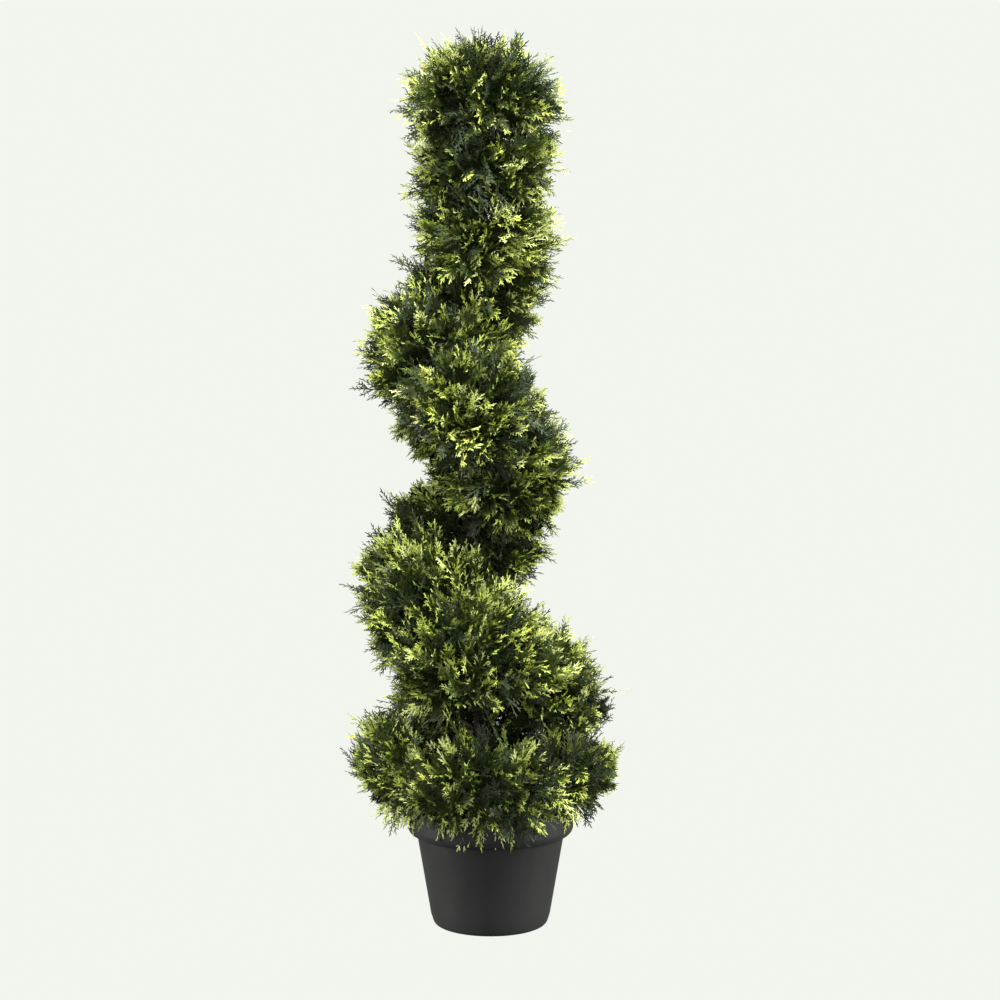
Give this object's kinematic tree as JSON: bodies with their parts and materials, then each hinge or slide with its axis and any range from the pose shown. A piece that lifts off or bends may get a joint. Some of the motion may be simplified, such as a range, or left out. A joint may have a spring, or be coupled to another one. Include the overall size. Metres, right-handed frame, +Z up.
{
  "type": "artificial spiral topiary",
  "caption": "Artificial spiral topiary: two-tone cypress foliage wound down a pole in a round black plastic pot.",
  "frame": {"origin": "centre of the pot's flat underside, on the surface that the pot stands on", "axes": "+Z up the plant; -Y to the front of the pictured side, +X to its right"},
  "size_m": [0.2844, 0.2818, 0.9002],
  "materials": {
    "foliage": "matte",
    "pole": "matte",
    "pot_plastic": "satin",
    "fill": "matte"
  },
  "bodies": {
    "root": {"foliage_tip": "foliage", "foliage_turn1_back": "foliage", "foliage_turn1_front": "foliage", "foliage_turn1_right": "foliage", "foliage_turn2_back": "foliage", "foliage_turn2_front": "foliage", "foliage_turn2_left": "foliage", "foliage_turn2_right": "foliage", "foliage_turn3_back": "foliage", "foliage_turn3_front": "foliage", "foliage_turn3_left": "foliage", "foliage_turn3_right": "foliage", "foliage_turn4_front": "foliage", "foliage_turn4_left": "foliage", "foliage_turn4_right": "foliage", "pot": "pot_plastic", "pot_fill": "fill", "trunk": "pole"}
  },
  "joints": []
}
